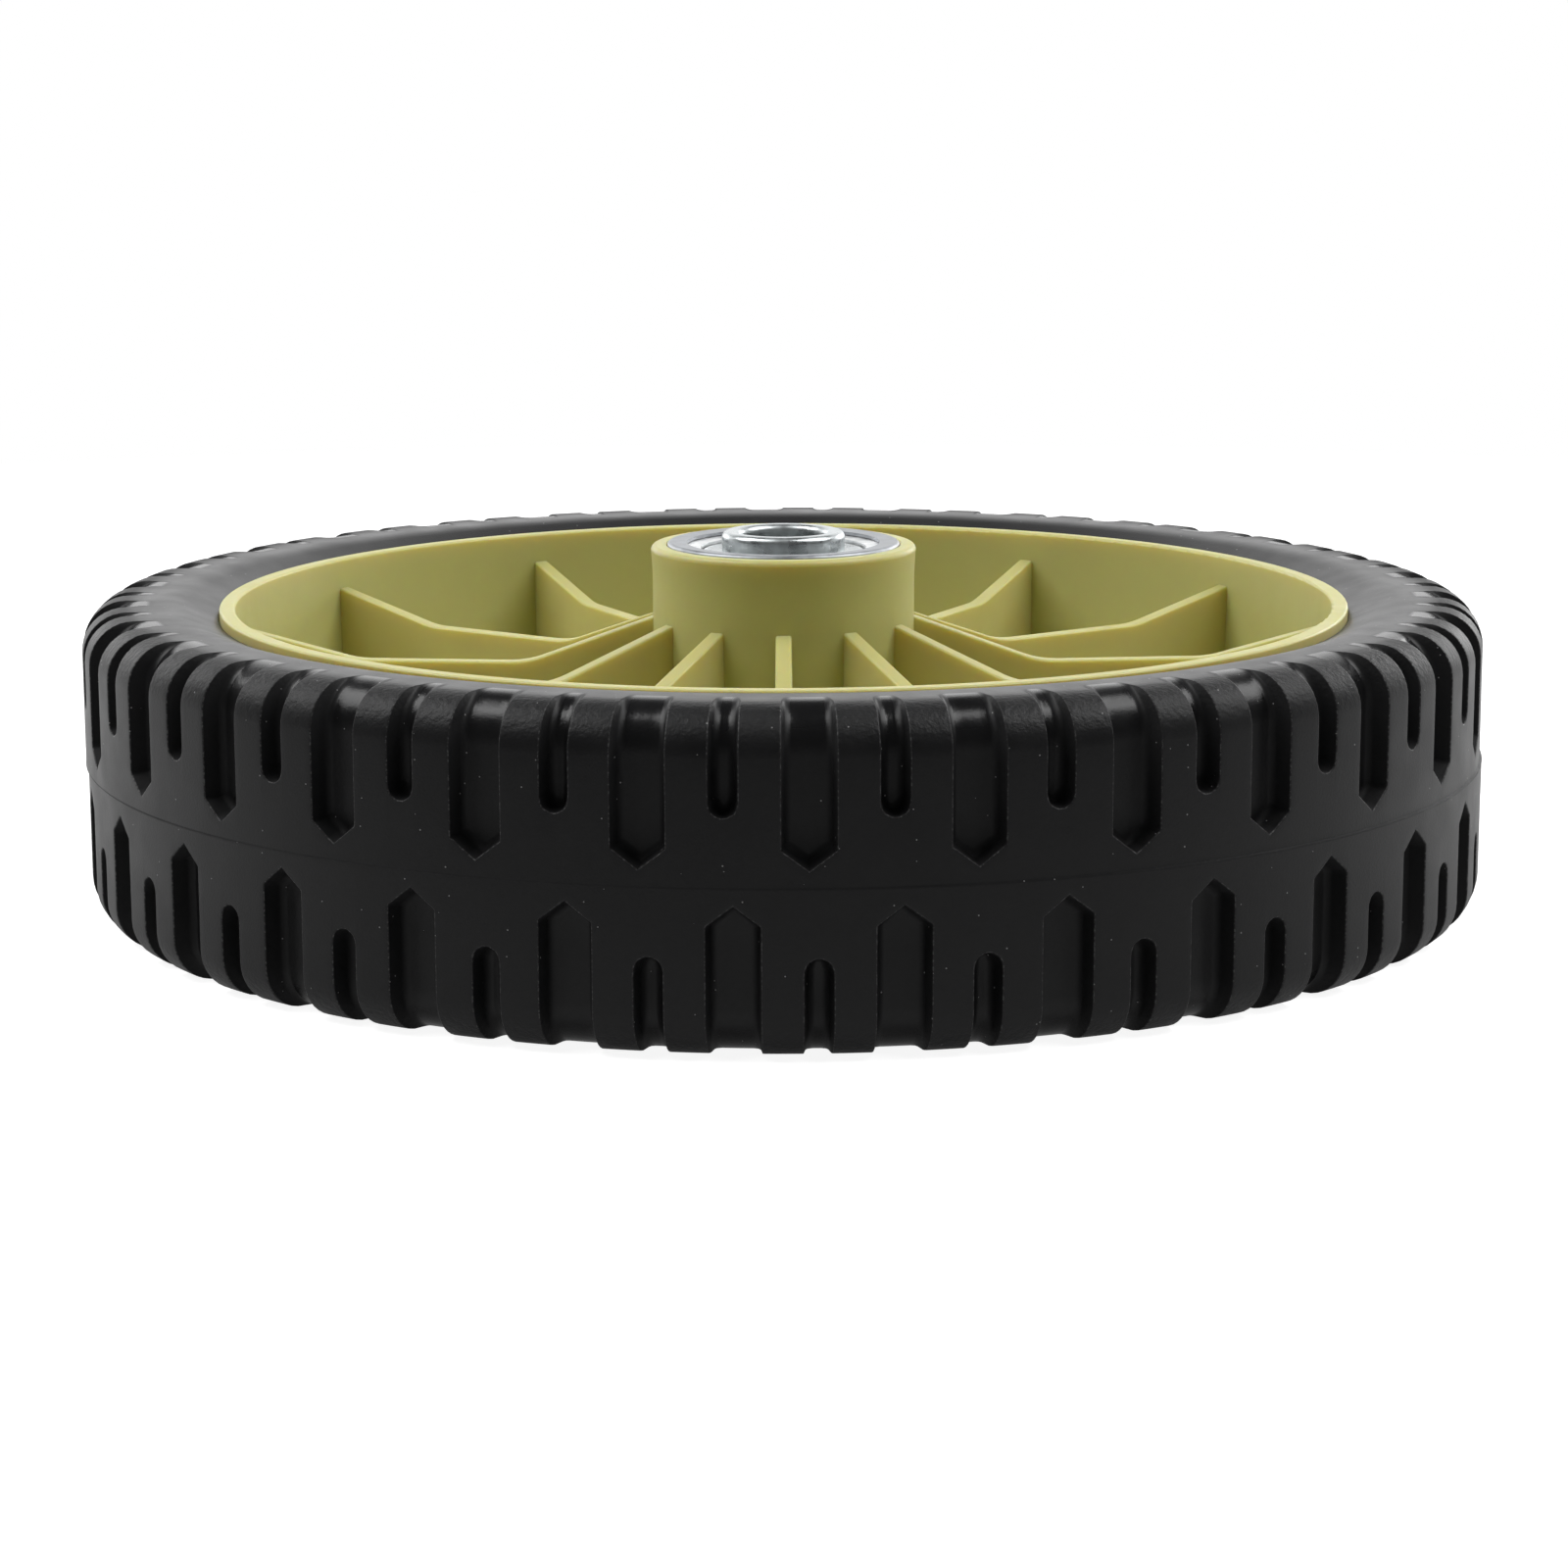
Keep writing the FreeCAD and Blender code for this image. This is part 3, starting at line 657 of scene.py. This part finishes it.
bearing_steels = {
    "outer_race": steel("zinc_steel_race", (0.35, 0.365, 0.385), 0.38, 0.52, 0.00005),
    "inner_ring": steel("zinc_steel_ring", (0.48, 0.51, 0.515), 0.2, 0.42, 0.00008),
    "shield": steel("zinc_steel_shield", (0.87, 0.9, 0.9), 0.4, 0.5, 0.00003),
    "balls": steel("ball_steel", (0.66, 0.66, 0.66), 0.06, 0.1, 0.000002),
}
print("steels", [finish.name for finish in bearing_steels.values()])

# %% give each node its material
finishes = {"tyre": rubber, "wheel_moulding": plastic}
for piece, finish in bearing_steels.items():
    finishes[f"upper_{piece}"] = finishes[f"lower_{piece}"] = finish
for name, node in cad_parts.items():
    node.data.materials.clear()
    node.data.materials.append(finishes[name])
print("finished", len(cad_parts), "nodes")

# %% [markdown]
# ## Floor, light and camera
#
# A plain white studio. The floor and the room look white to the camera, with only a faint shadow under
# the tyre, and the steel mirrors the white paper behind the wheel. More light on a white floor could do
# the same, but it would wash out the wheel, so the white is only seen and hardly lights anything. The
# light comes from both sides and from above, and hardly any from the front, where the room is dim: that
# is why the front of the tread and of the hub is dark, while the sidewall shines where it is seen at a
# low angle.

# %% white studio
dim_front = 0.1
paper_front = -0.2
paper_back = 0.3
paper_fall = 1.2


def seen_white(tree, vector):
    """How white the studio looks to a ray at a place or in a direction.

    It is 1 for a ray from the camera. For a mirrored or refracted ray it is 1 where y - paper_fall * z, which
    is large behind the wheel and low down, is past paper_back, and falls to dim_front at paper_front. It is 0
    for all other rays, which only carry light.
    """
    parts = tree.nodes.new("ShaderNodeSeparateXYZ")
    tree.links.new(vector, parts.inputs["Vector"])
    fall = combine(tree, "MULTIPLY", parts.outputs["Z"], paper_fall)
    depth = combine(tree, "SUBTRACT", parts.outputs["Y"], fall)
    paper_behind = spread(tree, depth, paper_front, paper_back, dim_front, 1.0)
    path = tree.nodes.new("ShaderNodeLightPath")
    bent = combine(tree, "MAXIMUM", path.outputs["Is Glossy Ray"], path.outputs["Is Transmission Ray"])
    mirrored = combine(tree, "MULTIPLY", bent, paper_behind)
    return combine(tree, "MAXIMUM", path.outputs["Is Camera Ray"], mirrored)


print("white behind the wheel, in front", dim_front)

# %% floor
floor_half = 6.0
corners = [(-floor_half, -floor_half, 0), (floor_half, -floor_half, 0)]
corners += [(floor_half, floor_half, 0), (-floor_half, floor_half, 0)]
floor_mesh = bpy.data.meshes.new("studio_floor")
floor_mesh.from_pydata(corners, [], [(0, 1, 2, 3)])
floor = bpy.data.objects.new("studio_floor", floor_mesh)
bpy.context.scene.collection.objects.link(floor)
print("floor in m", 2 * floor_half)

# %% floor paper
paper, tree, shader, place = new_material("studio_paper")
shader.inputs["Roughness"].default_value = 0.9
shader.inputs["Specular IOR Level"].default_value = 0.0
shader.inputs["Emission Color"].default_value = (1, 1, 1, 1)
away = tree.nodes.new("ShaderNodeVectorMath")
away.operation = "LENGTH"
tree.links.new(place, away.inputs[0])
lit_paper = spread(tree, away.outputs["Value"], 0.25, 0.6, 0.5, 0.0)
tree.links.new(lit_paper, shader.inputs["Base Color"])
white = spread(tree, away.outputs["Value"], 0.15, 0.35, 0.9, 1.0)
tree.links.new(combine(tree, "MULTIPLY", seen_white(tree, place), white), shader.inputs["Emission Strength"])
floor_mesh.materials.append(paper)
print("paper nodes", len(tree.nodes))

# %% room
room_light = 0.03
world = bpy.data.worlds.new("studio")
bpy.context.scene.world = world
world.use_nodes = True
tree = world.node_tree
room = tree.nodes["Background"]
room.inputs["Color"].default_value = (1, 1, 1, 1)
towards = tree.nodes.new("ShaderNodeTexCoord").outputs["Generated"]
tree.links.new(combine(tree, "MAXIMUM", seen_white(tree, towards), room_light), room.inputs["Strength"])
print("room light", room_light)

# %% lights
light_target = Vector((0, 0, 0.03))


def softbox(name, place, size, power):
    """A soft rectangular light at a place, turned towards the wheel."""
    lamp = bpy.data.lights.new(name, "AREA")
    lamp.shape = "RECTANGLE"
    lamp.size, lamp.size_y = size
    lamp.energy = power
    light = bpy.data.objects.new(name, lamp)
    light.location = place
    light.rotation_euler = (light_target - Vector(place)).to_track_quat("-Z", "Y").to_euler()
    bpy.context.scene.collection.objects.link(light)


softbox("back_panel", (0, 1.5, 0.63), (3.0, 0.85), 4)
for side, name, back_power in ((-1, "left", 2.0), (1, "right", 4.2)):
    softbox(f"{name}_front_light", (side * 0.6, -0.3, 1.2), (0.4, 0.6), 3.6)
    softbox(f"{name}_overhead_light", (side * 0.75, 0.1, 0.85), (0.6, 0.7), 6.4)
    softbox(f"{name}_back_light", (side * 0.9, 1.1, 0.35), (0.6, 0.5), back_power)
print("lights", [light.name for light in bpy.data.lights])

# %% camera
eye = Vector((0, -0.5670, 0.1278))
aim = Vector((0, 0, 0.01529))
camera_roll = math.radians(-0.15)

camera_data = bpy.data.cameras.new("photo_camera")
camera_data.sensor_width = 36.0
camera_data.lens = 89.6
camera = bpy.data.objects.new("photo_camera", camera_data)
bpy.context.scene.collection.objects.link(camera)
turn = (aim - eye).to_track_quat("-Z", "Y").to_matrix().to_4x4()
camera.matrix_world = Matrix.Translation(eye) @ turn @ Matrix.Rotation(camera_roll, 4, "Z")
bpy.context.scene.camera = camera
bpy.context.scene.view_settings.view_transform = "Standard"
print("camera to wheel in m", round((aim - eye).length, 3))

# %% finish
bpy.context.view_layer.update()
